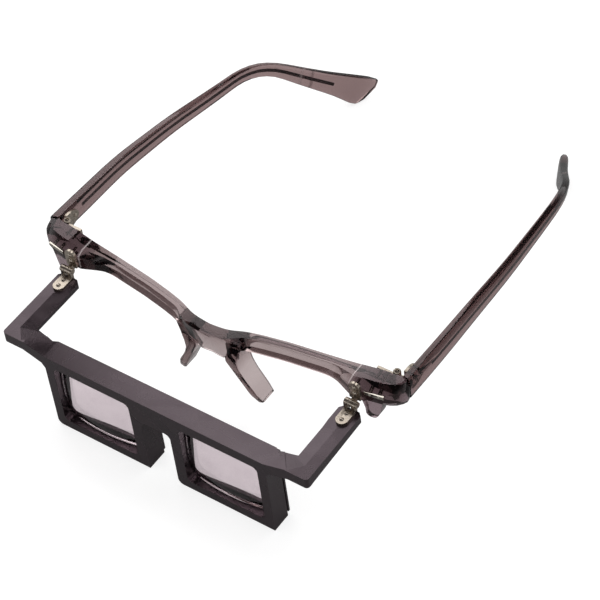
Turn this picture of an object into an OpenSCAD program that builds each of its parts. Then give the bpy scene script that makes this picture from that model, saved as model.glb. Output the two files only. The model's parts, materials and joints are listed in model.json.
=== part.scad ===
// Flip-up magnifier glasses: a spectacle front, two folding temples and a hinged frame with two thick windows
// Millimetres. X runs across the face, Y to the back of the head, Z up. The part stands on Z = 0

/* [Magnifier frame] */
// Distance from the side of the spectacle front in to the outer side of a window box
box_inset = 27; // [24:0.25:29]
// Width of the nose notch between the window boxes
notch_w = 11.3; // [8:0.1:14]
// Height of the nose notch
notch_h = 23; // [18:0.5:25]
// Height of the top bar over the foot of the boxes
bar_h = 32.6; // [31:0.1:36]
// Front-to-back depth of the bar and the boxes
frame_d = 7.5; // [6:0.1:9]
// Wall beside a window on the outer side
outer_wall = 3.4; // [2.5:0.1:4.5]
// Wall beside a window on the nose side
nose_wall = 4.1; // [3:0.1:5]
// Wall under a window
foot_wall = 3.6; // [2.5:0.1:4.5]
// Wall over a window
top_wall = 4.1; // [3:0.1:5]
// Corner radius of a window
window_r = 2; // [1:0.1:4]
// Radius of the rounded foot corners
foot_r = 2; // [0.5:0.1:3]

/* [Arms] */
// Distance from the side of the spectacle front in to the outer side of an arm
arm_inset = 11.1; // [9:0.1:13]
// Width of an arm
arm_w = 8.2; // [6.5:0.1:9.5]
// Thickness of an arm
arm_t = 4; // [3:0.1:5]
// Height of the arm's top over the bar's top
arm_rise = 2.5; // [1:0.1:4]
// Length from the front of the boxes to the back end of the arms
arm_len = 29.9; // [26:0.1:36]
// Chamfer on the back corners of an arm
arm_chamfer = 1.2; // [0.4:0.1:2]
// Slope of the inner half of an arm's top
arm_slope = 11; // [6:1:14]
// Width of that slope
arm_ridge = 4.4; // [3.6:0.1:4.6]
// Chamfers under the two long edges of an arm
arm_under = 1.6; // [0.6:0.1:2]
// Depth of the step where the bar ends and the ramp begins
ramp_step = 1.1; // [0.3:0.1:2]

/* [Lens] */
// Radius of the front surface of a lens
lens_front_r = 62; // [45:1:120]
// Distance from the front of the box to the crown of the lens
lens_inset = 0.1; // [0.05:0.05:1]
// Radius of the hollow back surface of a lens
lens_back_r = 100; // [80:1:200]
// Thickness of a lens at its crown
lens_t = 5.6; // [4:0.1:5.6]
// Gap between a lens and its window
lens_clearance = 0.05; // [0.02:0.01:0.2]
// Thickness of the plate that holds a lens from behind
retainer_t = 0.8; // [0.5:0.1:1.5]
// Width of the lip that overlaps the edge of the lens
retainer_lip = 0.8; // [0.6:0.1:2]
// Height of the plate's foot over the foot of the box
retainer_foot = 1.3; // [0.5:0.1:2]
// Distance of the plate's head under the top of the bar
retainer_head = 1.6; // [1:0.1:2.5]

/* [Flip hinge] */
// Distance from the hinge axis to the faces that carry its leaves
flip_offset = 3.15; // [2.8:0.05:4]
// Width of a leaf
flip_leaf_w = 4.1; // [3.4:0.1:4.8]
// Thickness of a leaf
leaf_t = 1; // [0.7:0.05:1.2]
// Outer radius of the flip hinge barrel
flip_barrel_r = 1.22; // [1.05:0.01:1.5]
// Radius of the flip hinge screw
flip_screw_r = 0.55; // [0.4:0.01:0.65]
// Length of the lower leaf on the arm, over its round end
flip_lower_l = 6.2; // [5.6:0.1:8]
// Height of the upper leaf
flip_upper_h = 7.1; // [6.4:0.1:8]
// Gap between two knuckles of a hinge
knuckle_gap = 0.08; // [0.05:0.01:0.15]
// Radial gap of a screw in a knuckle that turns on it
running_gap = 0.05; // [0.02:0.01:0.1]
// Radial gap of a screw or rivet in a hole that it fills
tight_gap = 0.01; // [0.005:0.005:0.02]
// Radius of a rivet shank
rivet_r = 0.5; // [0.35:0.05:0.6]
// Radius of a rivet head
rivet_head_r = 0.8; // [0.7:0.05:0.95]

/* [Spectacle front] */
// Width of the spectacle front
front_w = 140; // [136:0.5:146]
// Width of the bridge between its two seams
bridge_w = 16.4; // [15:0.2:19]
// Distance from the hinge seats on the brow back to its back edge
front_wrap = 7.45; // [7.2:0.05:7.8]
// Height of the middle of the brow over the flip axis
brow_rise = 3.2; // [2.6:0.1:4]
// Height of the end pieces over the flip axis
end_rise = 7.2; // [6.8:0.1:7.8]
// Front-to-back depth of the brow
brow_d = 4.2; // [3.6:0.1:5]
// Height of the brow from its top to its lower edge
brow_h = 5; // [4.4:0.1:6]
// Height of an end piece
end_h = 8.8; // [8:0.1:9.6]
// Height of the bridge plate
bridge_h = 11.9; // [10:0.1:13]
// Distance from the flip axis down to the lower end of the rim stubs
stub_drop = 7.5; // [6:0.1:9]
// Thickness of the rim stubs
stub_t = 3.4; // [2.6:0.1:4]
// Distance from the flip axis down to the tips of the nose pads
pad_drop = 27.6; // [22:0.2:32]
// Lean of the nose pads away from the nose
pad_lean = 26; // [18:1:32]
// Thickness of a nose pad at its tip
pad_t = 1.8; // [1.4:0.1:3]
// Front-to-back depth of a nose pad
pad_d = 5.6; // [4.6:0.1:7]

/* [Trim plate] */
// Length of the metal trim plate on an end piece
trim_l = 6.5; // [5:0.1:7]
// Height of the trim plate
trim_h = 1.3; // [0.8:0.1:2]
// Thickness of the trim plate
trim_t = 0.6; // [0.4:0.05:0.9]
// Distance between the two rivets of the trim plate
trim_rivet_pitch = 3; // [2.4:0.1:4]

/* [Temples] */
// Thickness of a temple at its hinge
temple_t = 3.4; // [3:0.1:4]
// Height of a temple at its hinge
temple_h = 8.6; // [7:0.1:9]
// Height of a temple just before its bend
bend_h = 4.7; // [4.2:0.1:6]
// Height of a temple at its tip
tip_h = 11.4; // [10:0.1:12]
// Thickness of a temple at its tip
tip_t = 3.4; // [2.8:0.1:3.8]
// Distance from the hinge to the bend behind the ear
temple_l = 102; // [92:1:112]
// Fall of a temple from the hinge to the bend
temple_fall = 9.9; // [7:0.1:12]
// Distance that a temple runs inwards from the hinge to the bend
temple_in = 6.4; // [4:0.1:9]
// Twist of the flat tip, its top edge leaning in
tip_twist = 11.5; // [0:0.5:20]
// Reach of the drop behind the ear, measured backwards from the bend
drop_reach = 34; // [28:0.5:38]
// Gap between an end piece and its temple
butt_gap = 0.15; // [0.1:0.05:0.3]
// Radius of the metal core in a temple
core_r = 0.6; // [0.4:0.05:0.8]

/* [Temple hinge] */
// Outer radius of the temple hinge barrel
temple_barrel_r = 1.25; // [1.1:0.05:1.3]
// Radius of the temple hinge screw
temple_screw_r = 0.6; // [0.45:0.05:0.7]
// Height of the temple hinge barrel
temple_barrel_h = 6; // [5:0.1:6.6]
// Radius of the ball head on the temple screw
ball_r = 1.3; // [1.2:0.05:1.5]
// Length of the shield-shaped rear leaf on the temple
rear_leaf_l = 6.2; // [6:0.1:8]

/* [Hidden] */
$fn = 48;

smoke = [0.52, 0.47, 0.47];
black = [0.2, 0.18, 0.19];
clear = [0.78, 0.75, 0.76, 0.6];
metal = [0.8, 0.75, 0.66];

// Magnifier frame
box_half = front_w / 2 - box_inset;
notch_half = notch_w / 2;
arm_out = front_w / 2 - arm_inset;
arm_in = arm_out - arm_w;
arm_top = bar_h + arm_rise;
arm_foot = arm_top - arm_t;
window_x0 = notch_half + nose_wall;
window_w = box_half - outer_wall - window_x0;
window_h = bar_h - top_wall - foot_wall;
ramp_x0 = box_half - 0.7;
ramp_x1 = arm_in - 0.4;

// Flip hinge, its axis along X
flip_x = arm_out - arm_w / 2 + 0.2;
flip_y = arm_len - 0.25;
flip_z = arm_top + flip_offset;
knuckle_w = (flip_leaf_w - 2 * knuckle_gap) / 3;
seat_y = flip_y + flip_offset;
lower_leaf_y1 = flip_y - flip_barrel_r + 0.2;
lower_leaf_y0 = lower_leaf_y1 - flip_lower_l;
lower_rivet_ys = [lower_leaf_y0 + 1.8, lower_leaf_y0 + 4.4];
upper_leaf_z0 = flip_z - 0.4;
upper_leaf_z1 = upper_leaf_z0 + flip_upper_h;
upper_rivet_zs = [upper_leaf_z0 + 2.6, upper_leaf_z0 + 5.2];
rivet_l = 2.8;

// Spectacle front. A station s is the distance from the middle, measured along the front
end_s = front_w / 2;
bridge_s = bridge_w / 2;
pad_s = bridge_s + 0.069 * end_s;
brow_s = bridge_s + 0.14 * end_s;
arch_s = bridge_s + 0.269 * end_s;
outer_s = 0.586 * end_s;
level_s = 0.643 * end_s;
rise_s = 0.714 * end_s;
flare_s = 0.75 * end_s;
turn_s = 0.829 * end_s;
corner_s = 0.886 * end_s;
back_y = seat_y + front_wrap;
top_z = flip_z + brow_rise;
end_z = flip_z + end_rise;
hinge_back_y = back_y + 0.7;
butt_in = [end_s - 3.7, hinge_back_y + 0.65];
butt_out = [end_s - 0.4, hinge_back_y - 0.35];

// Plan of the back top edge and of the foremost line of the front
inner_xs = [[0, 0], [turn_s, turn_s], [end_s - 9, end_s - 8.8], [end_s - 5, end_s - 6.1],
            [end_s - 1, end_s - 4.2], [end_s, butt_in[0]]];
inner_ys = [[0, back_y - 7.45], [bridge_s - 3.2, back_y - 7.3], [bridge_s - 0.7, back_y - 6.95],
            [bridge_s + 1.5, back_y - 6.1], [pad_s - 0.5, back_y - 5.05], [brow_s, back_y - 3.7],
            [arch_s, back_y - 2], [outer_s, back_y - 0.1], [turn_s, back_y + 0.2], [end_s - 9, hinge_back_y],
            [end_s - 4, hinge_back_y], [end_s, butt_in[1]]];
outer_xs = [[0, 0], [turn_s, turn_s], [end_s - 7, end_s - 5.2], [end_s - 5, end_s - 2.6],
            [end_s - 3, end_s - 0.7], [end_s - 1, end_s], [end_s, butt_out[0]]];
depths = [[0, brow_d + 0.4], [bridge_s, brow_d + 0.2], [pad_s, brow_d], [level_s, brow_d + 0.2],
          [flare_s, back_y + 0.1 - seat_y], [turn_s, back_y + 0.2 - seat_y]];
outer_ys = [[turn_s, seat_y], [end_s - 9, seat_y + 0.5], [end_s - 7, seat_y + 1.2],
            [end_s - 5, seat_y + 2.8], [end_s - 3, seat_y + 5], [end_s - 1, seat_y + 6.9],
            [end_s, butt_out[1]]];

// Heights and setbacks of the section along the front
tops = [[0, top_z - 1.3], [bridge_s - 0.7, top_z - 0.6], [pad_s - 1, top_z - 0.3], [outer_s, top_z + 0.1],
        [rise_s, top_z + 1.8], [turn_s, end_z - 0.2], [end_s, end_z]];
heights = [[0, bridge_h], [bridge_s - 3, bridge_h + 0.5], [bridge_s + 0.8, brow_h + 3], [pad_s, brow_h],
           [outer_s, brow_h], [rise_s, brow_h + 1.6], [turn_s, end_h], [end_s, end_h]];
top_runs = [[0, 0], [bridge_s, 0.2], [pad_s, 1.5], [level_s, 1.5], [flare_s, 2.6], [turn_s, 2.6],
            [end_s - 7, 2.6], [end_s - 3, 1.6], [end_s, 1.1]];
mid_runs = [[0, 1.1], [bridge_s, 0.7], [pad_s, 0.75], [level_s, 0.75], [flare_s, 0]];
mid_drops = [[0, 4], [pad_s, 2.3], [level_s, 2.3], [flare_s, 1.1], [turn_s, 1.6], [corner_s - 2, 2.6],
             [end_s, 2.4]];
low_runs = [[0, 3.05], [bridge_s, 1.8], [pad_s, 0]];
low_rises = [[0, 0.8], [pad_s, 0.6], [flare_s, 0.6], [corner_s, 2.6], [end_s, 2.8]];
foot_runs = [[0, 3.25], [bridge_s, 2.1], [pad_s, 0.5], [flare_s, 0.5], [corner_s, 1.5], [end_s, 0.9]];
foot_backs = [[0, -1.25], [bridge_s + 0.8, -0.2], [pad_s, 0.2], [end_s, 0.2]];

// Rim stub below each end piece
stub_slope = 0.157;
trim_x = flip_x + flip_leaf_w / 2 + 1.15;
stub_x0 = flip_x - flip_leaf_w / 2 - 0.25;
stub_x1 = trim_x + trim_l + 0.2;

// Trim plate, laid on the sloping front of the end piece
trim_z = flip_z + 4.4;
trim_angle = atan(stub_slope);

// Temple hinge, its axis along Z
pivot_x = end_s - 6.15;
pivot_y = hinge_back_y + 0.25 + temple_barrel_r;
barrel_z0 = end_z - 0.7 - temple_barrel_h;
temple_knuckle_h = (temple_barrel_h - 2 * knuckle_gap) / 3;
front_leaf_x0 = pivot_x - 6.4;
front_rivet_xs = [front_leaf_x0 + 1.5, front_leaf_x0 + 4];
rear_leaf_y0 = pivot_y + temple_barrel_r + 0.15;
rear_rivet_ys = [rear_leaf_y0 + 1.1, rear_leaf_y0 + 3.9];
barrel_mid_z = barrel_z0 + temple_barrel_h / 2;

// Temple path: hinge end, eased corner on the temple, bend behind the ear, tip
temple_face_x = butt_in[0];
temple_x = temple_face_x + temple_t / 2;
temple_z = end_z - temple_h / 2 + 0.5;
temple_p0 = [temple_x, butt_in[1] - 0.5, temple_z];
temple_p1 = temple_p0 + [0, 0.24 * temple_l, -0.11 * temple_fall];
temple_p2 = temple_p0 + [-temple_in, temple_l, -temple_fall];
tip_low = tip_h * 0.088 - 0.785;
temple_p3 = [temple_p2[0] - 0.6 * drop_reach, temple_p2[1] + drop_reach, tip_low];
drop_dir = unit(temple_p3 - temple_p2);
drop_l = norm(temple_p3 - temple_p2);
path_n = 40;
ring_n = 16;

function unit(v) = v / norm(v);
function blend(a, b, t) = a * (1 - t) + b * t;
function eased(table, x, w) = (lookup(x - w, table) + 2 * lookup(x, table) + lookup(x + w, table)) / 4;
function bezier(a, b, c, t) = blend(blend(a, b, t), blend(b, c, t), t);
function reversed(list) = [for (i = [len(list) - 1:-1:0]) list[i]];
function with_mirror(half) = concat(half, [for (p = reversed(half)) [-p[0], p[1]]]);

// Bow of a temple outwards and upwards, by the distance behind its hinge
bow_outs = [[0.16 * temple_l, 0], [0.33 * temple_l, 0.6], [0.58 * temple_l, 1.45], [0.82 * temple_l, 1],
            [0.95 * temple_l, 0.8], [1.05 * temple_l, 0.4], [1.12 * temple_l, -0.9], [1.25 * temple_l, -1.4]];
bow_ups = [[0.16 * temple_l, 0], [0.33 * temple_l, 0.9], [0.58 * temple_l, 0.9], [0.82 * temple_l, 0.3],
           [0.95 * temple_l, 0.4], [1.05 * temple_l, 0.9], [1.12 * temple_l, 0.5], [1.25 * temple_l, 1]];
function bowed(p) = let(d = p[1] - temple_p0[1]) p + [eased(bow_outs, d, 6), 0, eased(bow_ups, d, 6)];

// Point of the temple path at t from 0 to 1, with soft corners at the two inner points
ease_1 = 16;
ease_2 = 12.5;
len_a = norm(temple_p1 - temple_p0) - ease_1;
len_b = norm(temple_p2 - temple_p1) - ease_1 - ease_2;
len_c = drop_l - ease_2;
path_len = len_a + 2 * ease_1 + len_b + 2 * ease_2 + len_c;
dir_a = unit(temple_p1 - temple_p0);
dir_b = unit(temple_p2 - temple_p1);
function path_at(t) = let(d = t * path_len) bowed(
  d < len_a ? temple_p0 + d * dir_a :
  d < len_a + 2 * ease_1 ? bezier(temple_p1 - ease_1 * dir_a, temple_p1, temple_p1 + ease_1 * dir_b,
                                  (d - len_a) / (2 * ease_1)) :
  d < len_a + 2 * ease_1 + len_b ? temple_p1 + (d - len_a - ease_1) * dir_b :
  d < path_len - len_c ? bezier(temple_p2 - ease_2 * dir_b, temple_p2, temple_p2 + ease_2 * drop_dir,
                                (d - len_a - 2 * ease_1 - len_b) / (2 * ease_2)) :
  temple_p2 + (d - (path_len - len_c) + ease_2) * drop_dir);
function path_dir(t) = unit(path_at(t + 0.002) - path_at(t - 0.002));

bend_t = (len_a + 2 * ease_1 + len_b + ease_2) / path_len;
temple_hs = [[0, temple_h], [0.08, temple_h * 0.98], [0.16, temple_h * 0.92], [0.3, temple_h * 0.8],
             [bend_t - 0.04, bend_h], [bend_t + 0.05, bend_h], [0.87, tip_h * 0.68], [0.95, tip_h * 0.9],
             [0.985, tip_h], [1, tip_h * 0.94]];
temple_ts = [[0, temple_t], [0.16, temple_t], [bend_t, 2.6], [0.97, tip_t], [1, tip_t * 0.7]];
tip_slants = [[0.9, 0], [1, 0.9]];
tip_twists = [[bend_t, 0], [0.9, tip_twist]];

// Closed section of width a along u and height b along v, a rounded rectangle with flat faces.
// The lower half leans back along d by the slant, which cuts the foot of the tip at an angle
function soft(q) = sign(q) * pow(abs(q), 0.45);
function section(c, u, v, d, a, b, slant) = [for (i = [0:ring_n - 1]) let(q = 360 * (i + 0.5) / ring_n)
  c + u * a / 2 * soft(cos(q)) + v * b / 2 * soft(sin(q)) + d * slant * b / 2 * min(0, soft(sin(q)))];
function temple_ring(t) = let(d = path_dir(t), up = unit([0, -d[2], d[1]]), out = cross(d, up),
    q = eased(tip_twists, t, 0.03), u = out * cos(q) + up * sin(q), v = up * cos(q) - out * sin(q))
  section(path_at(t), u, v, d, lookup(t, temple_ts), eased(temple_hs, t, 0.015), lookup(t, tip_slants));
butt_slope = (butt_out[1] - butt_in[1]) / (butt_out[0] - butt_in[0]);
function butt_ring() = [for (p = temple_ring(0))
  [p[0], butt_in[1] + butt_gap + butt_slope * (p[0] - butt_in[0]), p[2]]];
temple_rings = concat([butt_ring()], [for (i = [1:path_n]) temple_ring(i / path_n)]);
rear_y = max([for (r = temple_rings) for (p = r) p[1]]);

// Core in the temple, from the hinge leaf's end to a point in the drop
core_t0 = 0.08;
core_t1 = 0.885;
function core_ring(t, r) = let(d = path_dir(t), v = unit([0, -d[2], d[1]]), u = cross(d, v))
  [for (i = [0:7]) path_at(t) + r * (u * cos(45 * i) + v * sin(45 * i))];

// Solid through a row of rings that have the same number of points
module loft(rings) {
  m = len(rings[0]);
  n = len(rings);
  sides = [for (i = [0:n - 2]) for (j = [0:m - 1])
    [i * m + j, i * m + (j + 1) % m, (i + 1) * m + (j + 1) % m, (i + 1) * m + j]];
  caps = [[for (j = [m - 1:-1:0]) j], [for (j = [0:m - 1]) (n - 1) * m + j]];
  polyhedron(points = [for (r = rings) for (p = r) p], faces = concat(sides, caps), convexity = 8);
}

module sided(side) {
  if (side < 0) mirror([1, 0, 0]) children();
  else children();
}

module placed() {
  translate([0, -rear_y / 2, 0]) children();
}

// Flat shape in the X-Z plane, extruded from y0 to y1
module wall(y0, y1) {
  translate([0, y1, 0]) rotate([90, 0, 0]) linear_extrude(y1 - y0) children();
}

module rounded_rect(w, h, r) {
  translate([r, 0]) square([w - 2 * r, h]);
  translate([0, r]) square([w, h - 2 * r]);
  for (x = [r, w - r]) for (y = [r, h - r]) translate([x, y]) circle(r);
}

module corner_cut(r) {
  difference() {
    translate([-1, -1]) square(r + 1);
    translate([r, r]) circle(r);
  }
}

// Rivet along +Z: shank below 0, domed head above
module rivet(l, head_h) {
  dome_r = (rivet_head_r * rivet_head_r + head_h * head_h) / (2 * head_h);
  translate([0, 0, -l]) cylinder(h = l + head_h / 2, r = rivet_r);
  intersection() {
    translate([0, 0, head_h - dome_r]) sphere(dome_r);
    cylinder(h = head_h, r = rivet_head_r);
  }
}

module rivet_hole(l) {
  translate([0, 0, -l - tight_gap]) cylinder(h = 2 * l, r = rivet_r + tight_gap);
}

// Magnifier frame
module frame_outline() {
  polygon(with_mirror([
    [box_half, 0], [box_half, arm_foot - arm_t - 0.2], [box_half + 1.3, arm_foot - 2.3],
    [arm_in + 0.7, arm_foot], [arm_out, arm_foot], [arm_out, arm_top], [ramp_x1, arm_top],
    [ramp_x0, bar_h]]));
}

module frame_plan() {
  difference() {
    polygon(with_mirror([
      [arm_out, 0], [arm_out, arm_len - arm_chamfer], [arm_out - arm_chamfer, arm_len],
      [arm_in + arm_chamfer, arm_len], [arm_in, arm_len - arm_chamfer], [arm_in, frame_d - 0.2],
      [ramp_x0 + 1.5, frame_d - ramp_step], [ramp_x0, frame_d]]));
    for (k = [0, 1]) mirror([k, 0]) translate([arm_out, 0]) mirror([1, 0]) corner_cut(1.2);
  }
}

// A block whose sloping face cuts an arm's top from a ridge inwards; turn swings the ridge
module arm_block(x, y, turn, l0, l1) {
  translate([arm_in + x, y, arm_top]) rotate([0, 0, turn]) rotate([0, -arm_slope, 0])
    translate([-2 * arm_w, -l0, 0]) cube([2 * arm_w, l0 + l1, arm_t]);
}

// The chamfer under one long edge of an arm, of width c at depth y0; turn widens it towards the hinge
module arm_chamfer(edge, dir, y0, c, turn) {
  translate([edge, y0, arm_foot]) rotate([0, 0, turn]) wall(0, arm_len + 1)
    polygon([[-3 * dir, -3], [dir * (c + 3), -3], [-3 * dir, c + 3]]);
}

// The slope runs out towards the front corner and towards the leaf, and a narrow one passes the leaf
module arm_cuts() {
  intersection() {
    arm_block(arm_ridge, frame_d / 2, 0, frame_d, arm_len);
    arm_block(arm_ridge, frame_d * 0.6, -43, arm_len, arm_len);
    arm_block(arm_ridge, lower_leaf_y0 - 1, 41, arm_len, arm_len);
  }
  arm_block(arm_ridge / 2, lower_leaf_y0, 0, 0, arm_len);
  arm_chamfer(arm_in, 1, frame_d - 0.2, arm_under, 0);
  arm_chamfer(arm_out, -1, 2.4, 0.1, atan((arm_under - 0.3) / arm_len));
}

module window_rect(inset) {
  translate([window_x0 + inset, foot_wall + inset])
    rounded_rect(window_w - 2 * inset, window_h - 2 * inset, window_r);
}

module lower_rivets_at() {
  for (y = lower_rivet_ys) translate([flip_x, y, arm_top + leaf_t]) children();
}

module magnifier_frame() {
  color(black) placed() difference() {
    intersection() {
      wall(0, arm_len) frame_outline();
      linear_extrude(arm_top) frame_plan();
    }
    wall(-1, frame_d + 1) {
      for (k = [0, 1]) mirror([k, 0]) window_rect(0);
      translate([-notch_half, -1]) square([notch_w, notch_h + 1 - foot_r]);
      translate([-notch_half + foot_r, 0]) square([notch_w - 2 * foot_r, notch_h]);
      for (x = [-1, 1]) translate([x * (notch_half - foot_r), notch_h - foot_r]) circle(foot_r);
      translate([-box_half, 0]) corner_cut(foot_r);
      translate([notch_half, 0]) corner_cut(foot_r);
    }
    for (side = [-1, 1]) sided(side) {
      arm_cuts();
      lower_rivets_at() rivet_hole(leaf_t + rivet_l);
    }
  }
}

// Lenses, hollow at the back, and the plates that hold them from behind
module lens_sphere(crown_y, r) {
  translate([window_x0 + window_w / 2, crown_y + r, foot_wall + window_h / 2]) sphere(r, $fn = 360);
}

module lens(side) {
  color(clear) placed() sided(side) difference() {
    intersection() {
      wall(0, frame_d) window_rect(lens_clearance);
      lens_sphere(lens_inset, lens_front_r);
    }
    lens_sphere(lens_inset + lens_t, lens_back_r);
  }
}

module lens_retainer(side) {
  color(black) placed() sided(side) wall(frame_d, frame_d + retainer_t) difference() {
    translate([notch_half, retainer_foot])
      square([box_half - notch_half, bar_h - retainer_head - retainer_foot]);
    window_rect(retainer_lip);
  }
}

// Knuckle of a flip hinge, centred on x, bored for its screw
module flip_knuckle(x) {
  translate([x - knuckle_w / 2, flip_y, flip_z]) rotate([0, 90, 0]) cylinder(h = knuckle_w, r = flip_barrel_r);
}

module flip_bore(gap) {
  translate([flip_x - flip_leaf_w, flip_y, flip_z]) rotate([0, 90, 0])
    cylinder(h = 2 * flip_leaf_w, r = flip_screw_r + gap);
}

module flip_lower_leaf(side) {
  end_r = flip_leaf_w / 2;
  riser_y0 = flip_y - flip_barrel_r;
  color(metal) placed() sided(side) difference() {
    union() {
      translate([0, 0, arm_top]) linear_extrude(leaf_t) {
        translate([flip_x, lower_leaf_y0 + end_r]) circle(end_r);
        translate([flip_x - end_r, lower_leaf_y0 + end_r]) square([flip_leaf_w, flip_lower_l - end_r]);
      }
      for (k = [-1, 1]) {
        flip_knuckle(flip_x + k * (knuckle_w + knuckle_gap));
        translate([flip_x + k * (knuckle_w + knuckle_gap) - knuckle_w / 2, riser_y0, arm_top])
          cube([knuckle_w, flip_barrel_r + 0.2, flip_offset]);
      }
    }
    flip_bore(tight_gap);
    lower_rivets_at() rivet_hole(leaf_t + rivet_l);
  }
}

module flip_lower_rivets(side) {
  color(metal) placed() sided(side) lower_rivets_at() rivet(leaf_t + rivet_l, 0.45);
}

module flip_screw(side) {
  head_t = 0.5;
  color(metal) placed() sided(side) translate([flip_x, flip_y, flip_z]) rotate([0, 90, 0]) difference() {
    union() {
      translate([0, 0, -flip_leaf_w / 2]) cylinder(h = flip_leaf_w, r = flip_screw_r);
      translate([0, 0, flip_leaf_w / 2]) cylinder(h = head_t, r = flip_barrel_r - 0.12);
    }
    translate([-2, -0.15, flip_leaf_w / 2 + head_t / 2]) cube([4, 0.3, head_t]);
  }
}

module upper_rivets_at() {
  for (z = upper_rivet_zs) translate([flip_x, seat_y - leaf_t, z]) rotate([90, 0, 0]) children();
}

module flip_upper_leaf(side) {
  end_r = flip_leaf_w / 2;
  color(metal) placed() sided(side) difference() {
    union() {
      wall(seat_y - leaf_t, seat_y) {
        translate([flip_x, upper_leaf_z1 - end_r]) circle(end_r);
        translate([flip_x - end_r, upper_leaf_z0]) square([flip_leaf_w, flip_upper_h - end_r]);
      }
      flip_knuckle(flip_x);
      translate([flip_x - knuckle_w / 2, flip_y, flip_z - flip_barrel_r])
        cube([knuckle_w, flip_offset, flip_barrel_r + 0.6]);
    }
    flip_bore(running_gap);
    upper_rivets_at() rivet_hole(leaf_t + rivet_l);
  }
}

module flip_upper_rivets(side) {
  color(metal) placed() sided(side) upper_rivets_at() rivet(leaf_t + rivet_l, 0.45);
}

// Section of the spectacle front at station s, as six points from the back top edge round to the back foot
function front_ring(s) = let(
    inner = [lookup(s, inner_xs), eased(inner_ys, s, s > turn_s - 2 ? 0 : 1.6)],
    outer = s > turn_s ? [lookup(s, outer_xs), lookup(s, outer_ys)]
                           : [s, inner[1] - eased(depths, s, s > rise_s ? 0.5 : 1.6)],
    full = norm(outer - inner), ahead = unit(outer - inner),
    top = eased(tops, s, 1.6), foot = top - eased(heights, s, 1.2),
    rows = [[0, top], [full - lookup(s, top_runs), top],
            [full - lookup(s, mid_runs), top - lookup(s, mid_drops)],
            [full - lookup(s, low_runs), foot + lookup(s, low_rises)],
            [full - lookup(s, foot_runs), foot], [lookup(s, foot_backs), foot]])
  [for (r = reversed(rows)) [inner[0] + r[0] * ahead[0], inner[1] + r[0] * ahead[1], r[1]]];
front_n = 44;
half_front = [for (i = [0:front_n]) front_ring(i * end_s / front_n)];
front_rings = concat([for (i = [front_n:-1:1]) [for (p = half_front[i]) [-p[0], p[1], p[2]]]], half_front);

// Nose pad, a leaning plate that grows out of the bridge
pad_z1 = flip_z - 9.7;
pad_z0 = flip_z - pad_drop;
pad_ts = [[pad_z0, pad_t + 0.5], [pad_z0 + 3.4, pad_t + 0.8], [pad_z1 - 8.5, pad_t + 0.4],
          [pad_z1 - 4.5, pad_t + 0.8], [pad_z1, pad_t + 2.9], [pad_z1 + 4.5, pad_t + 3.8],
          [pad_z1 + 8, pad_t + 5.1]];
pad_fronts = [[pad_z0, seat_y + 0.2], [pad_z0 + 3.6, seat_y - 1.2], [pad_z1, seat_y - 2.7],
              [pad_z1 + 8, seat_y - 2.2]];
pad_backs = [[pad_z0, seat_y + 0.7 + pad_d], [pad_z1, seat_y - 0.1 + pad_d], [pad_z1 + 8, seat_y + 2]];
function pad_ring(z) = let(
    x0 = bridge_s - 2.5 + tan(pad_lean) * max(0, pad_z1 - z),
    t = eased(pad_ts, z, 0.8), y0 = eased(pad_fronts, z, 0.8), y1 = eased(pad_backs, z, 0.8),
    tilt = lookup(z, [[pad_z1 - 3, sin(pad_lean)], [pad_z1 + 3, 0]]), c = 0.45)
  [for (p = [[0, y1 - c], [c, y1], [t - c, y1], [t, y1 - c], [t, y0 + c], [t - c, y0], [c, y0], [0, y0 + c]])
    [x0 + p[0], p[1], z + tilt * p[0]]];

module nose_pad() {
  loft([for (i = [0:16]) pad_ring(pad_z0 + (pad_z1 + 8 - pad_z0) * i / 16)]);
}

module rim_stub() {
  stub_z0 = flip_z - stub_drop;
  stub_y = seat_y + stub_slope * (stub_x1 - trim_x);
  intersection() {
    wall(seat_y - 1, seat_y + 2 * stub_t) polygon([
      [stub_x0, trim_z], [stub_x0, flip_z + 0.8], [stub_x0 + 3.4, flip_z + 0.5],
      [stub_x0 + 4.4, flip_z - 1.5], [stub_x0 + 5.1, flip_z - 3.8], [stub_x0 + 5.2, stub_z0 + 1.2],
      [stub_x0 + 5.7, stub_z0 + 0.4], [stub_x0 + 6.5, stub_z0], [stub_x1 - 4.6, stub_z0],
      [stub_x1 - 3.7, stub_z0 + 0.4], [stub_x1 - 3, stub_z0 + 1.3], [stub_x1 - 2.4, stub_z0 + 2.6],
      [stub_x1 - 1.3, flip_z - 0.4],
      [stub_x1, trim_z]]);
    linear_extrude(end_z) polygon([
      [stub_x0, seat_y], [trim_x - 0.4, seat_y], [stub_x1, stub_y], [stub_x1, stub_y + stub_t],
      [trim_x, seat_y + stub_t], [stub_x0, seat_y + stub_t]]);
  }
}

// Place on the sloping front of the end piece, with +Z out of the front
module trim_at() {
  translate([trim_x, seat_y + 0.06, trim_z]) rotate([0, 0, trim_angle]) rotate([90, 0, 0]) children();
}

module trim_rivets_at() {
  for (k = [-1, 1]) trim_at()
    translate([trim_l / 2 + k * trim_rivet_pitch / 2, -trim_h / 2, trim_t]) children();
}

module front_rivets_at() {
  for (x = front_rivet_xs) translate([x, hinge_back_y + leaf_t, barrel_mid_z]) rotate([-90, 0, 0]) children();
}

module carrier_front() {
  color(smoke) placed() difference() {
    union() {
      loft(front_rings);
      for (side = [-1, 1]) sided(side) {
        nose_pad();
        rim_stub();
      }
    }
    for (side = [-1, 1]) sided(side) {
      upper_rivets_at() rivet_hole(leaf_t + rivet_l);
      trim_rivets_at() rivet_hole(trim_t + rivet_l);
      trim_at() translate([-tight_gap, -trim_h - tight_gap, 0])
        cube([trim_l + 2 * tight_gap, trim_h + 2 * tight_gap, 2 * trim_t]);
      front_rivets_at() rivet_hole(leaf_t + rivet_l);
    }
  }
}

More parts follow.
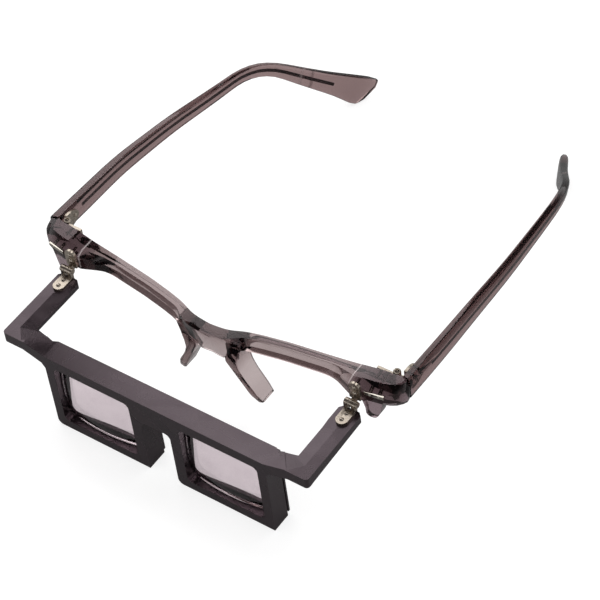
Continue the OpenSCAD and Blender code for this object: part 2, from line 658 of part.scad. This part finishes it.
module trim_plate(side) {
  color(metal) placed() sided(side) difference() {
    trim_at() translate([0, -trim_h, 0]) cube([trim_l, trim_h, trim_t]);
    trim_rivets_at() rivet_hole(trim_t + rivet_l);
  }
}

module trim_rivets(side) {
  color(metal) placed() sided(side) trim_rivets_at() translate([0, 0, -trim_t - rivet_l])
    cylinder(h = trim_t + rivet_l, r = rivet_r);
}

// Temple hinge
module temple_knuckle(i) {
  translate([pivot_x, pivot_y, barrel_z0 + i * (temple_knuckle_h + knuckle_gap)])
    cylinder(h = temple_knuckle_h, r = temple_barrel_r);
}

module temple_bore(gap) {
  translate([pivot_x, pivot_y, barrel_z0 - 1]) cylinder(h = temple_barrel_h + 4, r = temple_screw_r + gap);
}

module temple_front_leaf(side) {
  color(metal) placed() sided(side) difference() {
    union() {
      translate([front_leaf_x0, hinge_back_y, barrel_z0])
        cube([pivot_x - temple_barrel_r - knuckle_gap - front_leaf_x0, leaf_t, temple_barrel_h]);
      for (i = [0, 2]) {
        temple_knuckle(i);
        translate([front_leaf_x0 + 4, hinge_back_y, barrel_z0 + i * (temple_knuckle_h + knuckle_gap)])
          cube([pivot_x - front_leaf_x0 - 4, leaf_t, temple_knuckle_h]);
      }
    }
    temple_bore(tight_gap);
    front_rivets_at() rivet_hole(leaf_t + rivet_l);
  }
}

module temple_front_rivets(side) {
  color(metal) placed() sided(side) front_rivets_at() rivet(leaf_t + rivet_l, 0.45);
}

module temple_screw(side) {
  head_z = barrel_z0 + temple_barrel_h;
  color(metal) placed() sided(side) translate([pivot_x, pivot_y, 0]) difference() {
    union() {
      translate([0, 0, barrel_z0]) cylinder(h = temple_barrel_h, r = temple_screw_r);
      intersection() {
        translate([0, 0, head_z]) sphere(ball_r);
        translate([0, 0, head_z]) cylinder(h = ball_r, r = ball_r);
      }
    }
    translate([-2, -0.2, head_z + ball_r - 0.5]) cube([4, 0.4, 1]);
  }
}

module rear_rivets_at() {
  for (y = rear_rivet_ys) translate([temple_face_x - leaf_t, y, barrel_mid_z]) rotate([0, -90, 0]) children();
}

module temple_rear_leaf(side) {
  half_h = temple_barrel_h / 2;
  web_z = barrel_z0 + temple_knuckle_h + knuckle_gap;
  color(metal) placed() sided(side) difference() {
    union() {
      translate([temple_face_x - leaf_t, 0, barrel_mid_z]) rotate([90, 0, 90]) linear_extrude(leaf_t) polygon([
        [rear_leaf_y0, -half_h], [rear_leaf_y0 + 2.6, -half_h], [rear_leaf_y0 + 4.8, -half_h * 0.7],
        [rear_leaf_y0 + rear_leaf_l, 0], [rear_leaf_y0 + 4.8, half_h * 0.7], [rear_leaf_y0 + 2.6, half_h],
        [rear_leaf_y0, half_h]]);
      temple_knuckle(1);
      translate([pivot_x, pivot_y, web_z]) cube([temple_face_x - pivot_x, temple_barrel_r, temple_knuckle_h]);
      translate([temple_face_x - leaf_t, pivot_y, web_z])
        cube([leaf_t, rear_leaf_y0 - pivot_y + 1, temple_knuckle_h]);
    }
    temple_bore(running_gap);
    rear_rivets_at() rivet_hole(leaf_t + rivet_l);
  }
}

module temple_rear_rivets(side) {
  color(metal) placed() sided(side) rear_rivets_at() rivet(leaf_t + rivet_l * 0.8, 0.45);
}

module temple(side) {
  color(smoke) placed() sided(side) difference() {
    loft(temple_rings);
    loft([for (i = [0:30]) core_ring(core_t0 + (core_t1 - core_t0) * i / 30, core_r + tight_gap)]);
    rear_rivets_at() rivet_hole(leaf_t + rivet_l * 0.8);
  }
}

module temple_core(side) {
  color(metal) placed() sided(side)
    loft([for (i = [0:30]) core_ring(core_t0 + (core_t1 - core_t0) * i / 30, core_r)]);
}

carrier_front();
trim_plate(-1);  // trim_plate_left
trim_plate(1);  // trim_plate_right
trim_rivets(-1);  // trim_rivets_left
trim_rivets(1);  // trim_rivets_right
flip_upper_leaf(-1);  // flip_hinge_upper_leaf_left
flip_upper_leaf(1);  // flip_hinge_upper_leaf_right
flip_upper_rivets(-1);  // flip_hinge_upper_rivets_left
flip_upper_rivets(1);  // flip_hinge_upper_rivets_right
temple_front_leaf(-1);  // temple_hinge_front_leaf_left
temple_front_leaf(1);  // temple_hinge_front_leaf_right
temple_front_rivets(-1);  // temple_hinge_front_rivets_left
temple_front_rivets(1);  // temple_hinge_front_rivets_right
temple_screw(-1);  // temple_hinge_screw_left
temple_screw(1);  // temple_hinge_screw_right
temple(-1);  // temple_left
temple(1);  // temple_right
temple_core(-1);  // temple_core_left
temple_core(1);  // temple_core_right
temple_rear_leaf(-1);  // temple_hinge_rear_leaf_left
temple_rear_leaf(1);  // temple_hinge_rear_leaf_right
temple_rear_rivets(-1);  // temple_hinge_rear_rivets_left
temple_rear_rivets(1);  // temple_hinge_rear_rivets_right
magnifier_frame();
lens(-1);  // lens_left
lens(1);  // lens_right
lens_retainer(-1);  // lens_retainer_left
lens_retainer(1);  // lens_retainer_right
flip_lower_leaf(-1);  // flip_hinge_lower_leaf_left
flip_lower_leaf(1);  // flip_hinge_lower_leaf_right
flip_lower_rivets(-1);  // flip_hinge_lower_rivets_left
flip_lower_rivets(1);  // flip_hinge_lower_rivets_right
flip_screw(-1);  // flip_hinge_screw_left
flip_screw(1);  // flip_hinge_screw_right
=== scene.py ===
# Flip-up magnifier glasses: smoke acetate front and temples, black moulded window frame, nickel hinges
import json
import math

import bmesh
import bpy
from mathutils import Matrix, Vector

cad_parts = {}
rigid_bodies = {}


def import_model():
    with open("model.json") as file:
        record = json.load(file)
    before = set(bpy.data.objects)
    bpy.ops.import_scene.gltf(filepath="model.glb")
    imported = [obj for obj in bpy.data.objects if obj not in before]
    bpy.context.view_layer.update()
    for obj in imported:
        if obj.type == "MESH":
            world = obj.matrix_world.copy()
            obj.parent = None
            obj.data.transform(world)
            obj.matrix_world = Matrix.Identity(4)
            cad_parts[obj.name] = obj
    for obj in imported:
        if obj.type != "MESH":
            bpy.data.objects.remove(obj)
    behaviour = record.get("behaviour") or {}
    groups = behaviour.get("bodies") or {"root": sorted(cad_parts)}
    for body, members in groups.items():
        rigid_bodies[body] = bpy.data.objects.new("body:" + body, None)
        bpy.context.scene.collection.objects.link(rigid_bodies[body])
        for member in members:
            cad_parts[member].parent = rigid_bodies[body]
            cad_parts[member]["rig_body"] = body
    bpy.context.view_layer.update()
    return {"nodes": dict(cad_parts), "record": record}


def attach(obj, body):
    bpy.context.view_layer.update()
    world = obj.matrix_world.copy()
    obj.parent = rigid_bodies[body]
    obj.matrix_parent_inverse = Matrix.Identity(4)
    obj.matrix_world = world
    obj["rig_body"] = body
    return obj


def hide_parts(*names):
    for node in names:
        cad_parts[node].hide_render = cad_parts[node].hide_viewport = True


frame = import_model()
print("frame loaded:", len(frame["nodes"]), "nodes")

mm = 0.001
# Metres within which two vertices are one: in the frame's solids, and after a bevel
weld = 1e-6
sameCorner = 2e-8


def srgb(hexColour):
    channels = [int(hexColour[i:i + 2], 16) / 255 for i in (1, 3, 5)]
    return [c / 12.92 if c <= 0.04045 else ((c + 0.055) / 1.055) ** 2.4 for c in channels] + [1]


def addNode(tree, kind, values=None, links=None, **settings):
    node = tree.nodes.new(kind)
    for name, value in settings.items():
        setattr(node, name, value)
    for socket, value in (values or {}).items():
        node.inputs[socket].default_value = value
    for socket, source in (links or {}).items():
        tree.links.new(source, node.inputs[socket])
    return node


def newMaterial(name):
    material = bpy.data.materials.new(name)
    material.use_nodes = True
    material.node_tree.nodes.clear()
    return material, material.node_tree


def colourRamp(tree, factor, stops):
    ramp = addNode(tree, "ShaderNodeValToRGB", links={"Fac": factor})
    for index, (place, colour) in enumerate(stops):
        stop = ramp.color_ramp.elements[index] if index < 2 else ramp.color_ramp.elements.new(place)
        stop.position = place
        stop.color = srgb(colour)
    return ramp


# Camera, fitted to the photograph's mirror pairs
camera = {"azimuth": 40.82, "elevation": 47.46, "roll": -8.11, "lens": 156.15,
          "place": (0.37829, -0.45151, 0.63957)}


def makeCamera():
    azimuth, elevation, roll = (math.radians(camera[k]) for k in ("azimuth", "elevation", "roll"))
    back = Vector((math.sin(azimuth) * math.cos(elevation), -math.cos(azimuth) * math.cos(elevation),
                   math.sin(elevation)))
    right = Vector((math.cos(azimuth), math.sin(azimuth), 0))
    up = back.cross(right)
    turned = Matrix((right * math.cos(roll) + up * math.sin(roll),
                     up * math.cos(roll) - right * math.sin(roll), back)).transposed()
    data = bpy.data.cameras.new("camera")
    data.lens = camera["lens"]
    data.sensor_width = 36
    data.clip_start, data.clip_end = 0.05, 20
    made = bpy.data.objects.new("camera", data)
    made.matrix_world = Matrix.Translation(camera["place"]) @ turned.to_4x4()
    bpy.context.scene.collection.objects.link(made)
    bpy.context.scene.camera = made


# Smoke cellulose acetate, tumbled to a gloss: clear grey-brown body that darkens with its thickness. The
# temples and the front's end blocks are of a deeper sheet, cemented on, and the cement line catches light
smoke = {"front": "#ddd4d3", "ends": "#a0949a", "temples": "#a59190", "cement": "#fff2f2", "film": "#a4a4a4",
         "clear": "#ffffff", "streak": "#958b8b", "streaks": 0.16, "streakMm": 9, "streakPull": 0.12,
         "deep": "#bcadad", "density": 340, "gloss": "#fff1f3", "roughness": 0.04, "ior": 1.49,
         "seamMm": 52.4, "cementMm": 0.35, "buttMm": -48.6}


def smokeAcetate():
    material, tree = newMaterial("smokeAcetate")
    place = addNode(tree, "ShaderNodeTexCoord").outputs["Object"]
    axis = addNode(tree, "ShaderNodeSeparateXYZ", links={"Vector": place}).outputs
    out = addNode(tree, "ShaderNodeMath", links={0: axis["X"]}, operation="ABSOLUTE")
    reach = 100  # mm at the ramps' far end
    out = addNode(tree, "ShaderNodeMath", {1: 1 / (reach * mm)}, {0: out.outputs[0]}, operation="MULTIPLY")
    seam, cement = smoke["seamMm"] / reach, smoke["cementMm"] / reach
    front = colourRamp(tree, out.outputs[0], [(seam - cement, smoke["front"]), (seam + cement, smoke["ends"]),
                                              (seam, smoke["cement"])])
    film = colourRamp(tree, out.outputs[0], [(seam - cement, smoke["clear"]), (seam + cement, smoke["clear"]),
                                             (seam, smoke["film"])])
    behind = addNode(tree, "ShaderNodeMath", {1: smoke["buttMm"] * mm}, {0: axis["Y"]},
                     operation="GREATER_THAN")
    sheet = addNode(tree, "ShaderNodeMix", {"B": srgb(smoke["temples"])},
                    {"Factor": behind.outputs[0], "A": front.outputs["Color"]}, data_type="RGBA")
    along = addNode(tree, "ShaderNodeMapping", {"Scale": (1, smoke["streakPull"], 1)}, {"Vector": place})
    streaks = addNode(tree, "ShaderNodeTexNoise", {"Scale": 1 / (smoke["streakMm"] * mm), "Detail": 3.0},
                      {"Vector": along.outputs["Vector"]})
    shade = addNode(tree, "ShaderNodeMapRange",
                    {"From Min": 0.35, "From Max": 0.65, "To Max": smoke["streaks"]},
                    {"Value": streaks.outputs["Fac"]})
    body = addNode(tree, "ShaderNodeMix", {"B": srgb(smoke["streak"])},
                   {"Factor": shade.outputs["Result"], "A": sheet.outputs["Result"]}, data_type="RGBA")
    shader = addNode(tree, "ShaderNodeBsdfPrincipled",
                     {"Roughness": smoke["roughness"], "IOR": smoke["ior"],
                      "Specular Tint": srgb(smoke["gloss"])},
                     {"Base Color": body.outputs["Result"], "Transmission Weight": film.outputs["Color"]})
    depth = addNode(tree, "ShaderNodeVolumeAbsorption",
                    {"Color": srgb(smoke["deep"]), "Density": smoke["density"]})
    addNode(tree, "ShaderNodeOutputMaterial",
            links={"Surface": shader.outputs["BSDF"], "Volume": depth.outputs[0]})
    return material


# Black ABS from a sparked mould: satin, a little purple where it shines, with slow flow marks. The spark
# grain is about 0.1 mm, and is drawn coarser so that it shows
black = {"body": "#1a1417", "worn": "#261f22", "gloss": "#ffe6f2", "shine": 0.8, "ior": 1.53,
         "glossy": 0.21, "satin": 0.34, "flowMm": 14, "swirl": 1.4, "grainMm": 0.35, "grainDeepMm": 0.05}


def blackAbs():
    material, tree = newMaterial("blackAbs")
    place = addNode(tree, "ShaderNodeTexCoord").outputs["Object"]
    flow = addNode(tree, "ShaderNodeTexNoise",
                   {"Scale": 1 / (black["flowMm"] * mm), "Detail": 4.0, "Distortion": black["swirl"]},
                   {"Vector": place})
    tint = colourRamp(tree, flow.outputs["Fac"], [(0.35, black["body"]), (0.7, black["worn"])])
    sheen = addNode(tree, "ShaderNodeMapRange",
                    {"From Min": 0.3, "From Max": 0.7, "To Min": black["glossy"], "To Max": black["satin"]},
                    {"Value": flow.outputs["Fac"]})
    grain = addNode(tree, "ShaderNodeTexNoise", {"Scale": 1 / (black["grainMm"] * mm), "Detail": 2.0},
                    {"Vector": place})
    bump = addNode(tree, "ShaderNodeBump", {"Strength": 0.5, "Distance": black["grainDeepMm"] * mm},
                   {"Height": grain.outputs["Fac"]})
    shader = addNode(tree, "ShaderNodeBsdfPrincipled",
                     {"IOR": black["ior"], "Specular IOR Level": black["shine"],
                      "Specular Tint": srgb(black["gloss"])},
                     {"Base Color": tint.outputs["Color"], "Roughness": sheen.outputs["Result"],
                      "Normal": bump.outputs["Normal"]})
    addNode(tree, "ShaderNodeOutputMaterial", links={"Surface": shader.outputs["BSDF"]})
    return material


# The metals. Tumbling leaves marks of about 0.1 mm, drawn coarser here so that they show
metals = {"nickel": {"bright": "#cdc2b4", "dull": "#a89d90", "roughness": 0.28},
          "silver": {"bright": "#d8d2c8", "dull": "#b9b2a7", "roughness": 0.16},
          "wire": {"bright": "#6b6162", "dull": "#4a4243", "roughness": 0.34},
          "markMm": 0.6, "markDeepMm": 0.02, "smoother": 0.06, "rougher": 0.1}


def tumbledMetal(name, bright, dull, roughness):
    material, tree = newMaterial(name)
    place = addNode(tree, "ShaderNodeTexCoord").outputs["Object"]
    marks = addNode(tree, "ShaderNodeTexNoise", {"Scale": 1 / (metals["markMm"] * mm), "Detail": 5.0},
                    {"Vector": place})
    tint = colourRamp(tree, marks.outputs["Fac"], [(0.35, dull), (0.62, bright)])
    gloss = addNode(tree, "ShaderNodeMapRange",
                    {"From Min": 0.3, "From Max": 0.7, "To Min": roughness - metals["smoother"],
                     "To Max": roughness + metals["rougher"]}, {"Value": marks.outputs["Fac"]})
    bump = addNode(tree, "ShaderNodeBump", {"Strength": 0.2, "Distance": metals["markDeepMm"] * mm},
                   {"Height": marks.outputs["Fac"]})
    shader = addNode(tree, "ShaderNodeBsdfPrincipled", {"Metallic": 1.0},
                     {"Base Color": tint.outputs["Color"], "Roughness": gloss.outputs["Result"],
                      "Normal": bump.outputs["Normal"]})
    addNode(tree, "ShaderNodeOutputMaterial", links={"Surface": shader.outputs["BSDF"]})
    return material


# Cast optical acrylic, polished: clear, with a faint lilac grey cast and a slow haze a few mm across
lens = {"body": "#cfc3c8", "haze": "#c6babf", "ior": 1.49, "hazeMm": 7, "smear": 0.03}


def opticalAcrylic():
    material, tree = newMaterial("opticalAcrylic")
    place = addNode(tree, "ShaderNodeTexCoord").outputs["Object"]
    haze = addNode(tree, "ShaderNodeTexNoise", {"Scale": 1 / (lens["hazeMm"] * mm), "Detail": 2.0},
                   {"Vector": place})
    tint = colourRamp(tree, haze.outputs["Fac"], [(0.3, lens["haze"]), (0.7, lens["body"])])
    smear = addNode(tree, "ShaderNodeMapRange",
                    {"From Min": 0.3, "From Max": 0.7, "To Min": 0.0, "To Max": lens["smear"]},
                    {"Value": haze.outputs["Fac"]})
    shader = addNode(tree, "ShaderNodeBsdfPrincipled", {"IOR": lens["ior"], "Transmission Weight": 1.0},
                     {"Base Color": tint.outputs["Color"], "Roughness": smear.outputs["Result"]})
    addNode(tree, "ShaderNodeOutputMaterial", links={"Surface": shader.outputs["BSDF"]})
    return material


finishes = {
    "smoke_plastic": smokeAcetate(),
    "black_plastic": blackAbs(),
    # Nickel plate over brass, barrel polished: warm white hinges with a soft shine
    "nickel": tumbledMetal("nickelPlate", **metals["nickel"]),
    # Nickel silver, polished: paler and brighter trim
    "pale_metal": tumbledMetal("nickelSilver", **metals["silver"]),
    # Drawn wire, not polished: a dull dark line inside each temple
    "core_wire": tumbledMetal("drawnWire", **metals["wire"]),
    "lens_glass": opticalAcrylic(),
}
slotOf = {part["node"]: part["material_slot"] for part in frame["record"]["subparts"]}
for name, node in frame["nodes"].items():
    node.data.materials.clear()
    node.data.materials.append(finishes[slotOf[name]])
print("finishes made")


def copyOf(nodeName):
    shape = bmesh.new()
    shape.from_mesh(frame["nodes"][nodeName].data)
    bmesh.ops.remove_doubles(shape, verts=shape.verts, dist=weld)
    return shape


# Bevels that meet leave doubled corners
def roundOff(shape, corners, size, segments):
    bmesh.ops.bevel(shape, geom=corners, offset=size * mm, offset_type="OFFSET", affect="EDGES",
                    segments=segments, profile=0.5, material=-1, clamp_overlap=True)
    bmesh.ops.remove_doubles(shape, verts=shape.verts, dist=sameCorner)


# Edges that cross a leaf's thickness at the corners of its outline
def outlineCorners(shape, leaf):
    crossing = [e for e in shape.edges if e.calc_length() < leaf["thickMm"] * mm
                and abs((e.verts[0].co - e.verts[1].co).normalized().x) > 0.99]
    return [e for e in crossing if e.verts[0].co.y > leaf["fromMm"] * mm
            and leaf["bends"][0] < e.calc_face_angle(0) < leaf["bends"][1]]


# A moulded or stamped piece: the node's own solid with its sharp edges broken
def withBrokenEdges(nodeName, edge, segments=2, facet=25, outline=None, sharpest=25, flat=0.4):
    shape = copyOf(nodeName)
    bmesh.ops.dissolve_limit(shape, angle_limit=math.radians(flat), verts=shape.verts, edges=shape.edges)
    if outline:
        roundOff(shape, outlineCorners(shape, outline), outline["roundMm"], outline["segments"])
    corners = [e for e in shape.edges if e.is_manifold and e.calc_face_angle(0) > math.radians(sharpest)]
    roundOff(shape, corners, edge, segments)
    bmesh.ops.recalc_face_normals(shape, faces=shape.faces)
    words = nodeName.split("_")
    return finishPiece(shape, words[0] + "".join(w.title() for w in words[1:]), nodeName, facet)


def finishPiece(shape, name, nodeName, facet=30):
    for face in shape.faces:
        face.smooth = True
    mesh = bpy.data.meshes.new(name)
    shape.to_mesh(mesh)
    shape.free()
    mesh.set_sharp_from_angle(angle=math.radians(facet))
    piece = bpy.data.objects.new(name, mesh)
    bpy.context.scene.collection.objects.link(piece)
    mesh.materials.append(finishes[slotOf[nodeName]])
    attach(piece, frame["nodes"][nodeName]["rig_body"])
    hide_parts(nodeName)
    return piece


# Edge sizes in mm, bends in radians, facets in degrees. A solid's finest spans clamp its edge size: to about
# 0.001 on the front, 0.015 on the temples and 0.03 on the black frame.
edges = {"magnifier_frame": {"edge": 0.2, "facet": 9},
         "lens_retainer": {"edge": 0.12},
         "lens": {"edge": 0.4},
         "carrier_front": {"edge": 0.9, "segments": 4, "facet": 50},
         "temple": {"edge": 0.5, "segments": 3, "facet": 40},
         "trim_plate": {"edge": 0.08},
         "flip_hinge_upper_leaf": {"edge": 0.12},
         "flip_hinge_lower_leaf": {"edge": 0.12},
         "flip_hinge_screw": {"edge": 0.06},
         "temple_hinge_front_leaf": {"edge": 0.12},
         "temple_hinge_rear_leaf": {"edge": 0.12,
                                    "outline": {"thickMm": 1.2, "fromMm": -48, "bends": (0.3, 1.2),
                                                "roundMm": 1.3, "segments": 4}},
         "temple_hinge_screw": {"edge": 0.08}}
for name in sorted(frame["nodes"]):
    kind = name.removesuffix("_left").removesuffix("_right")
    if kind in edges:
        withBrokenEdges(name, **edges[kind])
# The trim's shafts were driven hot, so each fills its hole and shines through the plastic
trimShafts = {"swellMm": 0.12}
for side in ("left", "right"):
    shafts = finishPiece(copyOf("trim_rivets_" + side), "trimShafts" + side.title(), "trim_rivets_" + side)
    swell = shafts.modifiers.new("swell", "DISPLACE")
    swell.strength, swell.mid_level = trimShafts["swellMm"] * mm, 0
print("pieces made")


# White paper under the glasses, with their soft shadow on it
stage = {"paper": "#f2f2f2", "bounce": "#707070", "white": 1.45, "share": 0.5, "inMetal": 0.1, "air": 0.7,
         "size": 4, "wall": "#ffffff", "overMetal": "#4a4647", "overClear": "#dcd6d6", "wallTop": 0.12,
         "ceiling": 0.5}


def backgroundRays(tree):
    path = addNode(tree, "ShaderNodeLightPath")
    return [path.outputs[kind] for kind in ("Is Camera Ray", "Is Transmission Ray", "Is Glossy Ray")]


def makeStage():
    shape = bmesh.new()
    bmesh.ops.create_grid(shape, x_segments=1, y_segments=1, size=stage["size"])
    mesh = bpy.data.meshes.new("floor")
    shape.to_mesh(mesh)
    shape.free()
    floor = bpy.data.objects.new("floor", mesh)
    bpy.context.scene.collection.objects.link(floor)
    material, tree = newMaterial("paperSweep")
    direct, through, mirror = backgroundRays(tree)
    seen = addNode(tree, "ShaderNodeMath", {1: stage["inMetal"]}, {0: mirror}, operation="MULTIPLY")
    seen = addNode(tree, "ShaderNodeMath", links={0: seen.outputs[0], 1: through}, operation="ADD")
    seen = addNode(tree, "ShaderNodeMath", links={0: seen.outputs[0], 1: direct}, operation="ADD")
    share = addNode(tree, "ShaderNodeMath", {1: stage["share"]}, {0: seen.outputs[0]}, operation="MULTIPLY")
    shade = colourRamp(tree, seen.outputs[0], [(0, stage["bounce"]), (1, stage["paper"])])
    paper = addNode(tree, "ShaderNodeBsdfDiffuse", links={"Color": shade.outputs["Color"]})
    glow = addNode(tree, "ShaderNodeEmission", {"Color": (1, 1, 1, 1), "Strength": stage["white"]})
    both = addNode(tree, "ShaderNodeMixShader",
                   links={0: share.outputs[0], 1: paper.outputs[0], 2: glow.outputs[0]})
    addNode(tree, "ShaderNodeOutputMaterial", links={"Surface": both.outputs[0]})
    mesh.materials.append(material)


# Round softboxes aimed at the glasses: place and size in metres, glow as the disc's own brightness
lamps = {"keyLight": {"place": (-2.42, 1.78, 2.66), "size": 2.7, "glow": 1.85},
         "fillLight": {"place": (0.96, 1.76, 3.46), "size": 1.8, "glow": 2.6}}


def makeLight(name, place, size, glow):
    data = bpy.data.lights.new(name, "AREA")
    data.shape = "DISK"
    data.size = size
    data.energy = glow * math.pi * math.pi * size * size / 4
    lamp = bpy.data.objects.new(name, data)
    lamp.location = place
    lamp.rotation_euler = (-Vector(place)).to_track_quat("-Z", "Y").to_euler()
    bpy.context.scene.collection.objects.link(lamp)


# The studio: white behind the glasses, and for mirror and clear rays white low down and dim overhead
def makeWorld():
    world = bpy.data.worlds.new("studio")
    bpy.context.scene.world = world
    world.use_nodes = True
    tree = world.node_tree
    tree.nodes.clear()
    direct, through, mirror = backgroundRays(tree)
    way = addNode(tree, "ShaderNodeTexCoord").outputs["Generated"]
    height = addNode(tree, "ShaderNodeSeparateXYZ", links={"Vector": way})
    shader = addNode(tree, "ShaderNodeBackground", {"Color": (1, 1, 1, 1), "Strength": stage["air"]})
    for rays, ceiling in ((mirror, stage["overMetal"]), (through, stage["overClear"])):
        room = colourRamp(tree, height.outputs["Z"], [(0.0, stage["wall"]), (stage["ceiling"], ceiling),
                                                      (stage["wallTop"], stage["wall"])])
        room.color_ramp.interpolation = "EASE"
        around = addNode(tree, "ShaderNodeBackground", {"Strength": 1.0}, {"Color": room.outputs["Color"]})
        shader = addNode(tree, "ShaderNodeMixShader",
                         links={0: rays, 1: shader.outputs[0], 2: around.outputs[0]})
    white = addNode(tree, "ShaderNodeBackground", {"Color": (1, 1, 1, 1), "Strength": 1.0})
    shader = addNode(tree, "ShaderNodeMixShader", links={0: direct, 1: shader.outputs[0], 2: white.outputs[0]})
    addNode(tree, "ShaderNodeOutputWorld", links={"Surface": shader.outputs[0]})


makeCamera()
makeStage()
makeWorld()
for name, lamp in lamps.items():
    makeLight(name, **lamp)
bpy.context.scene.view_settings.view_transform = "Standard"
print("stage made")
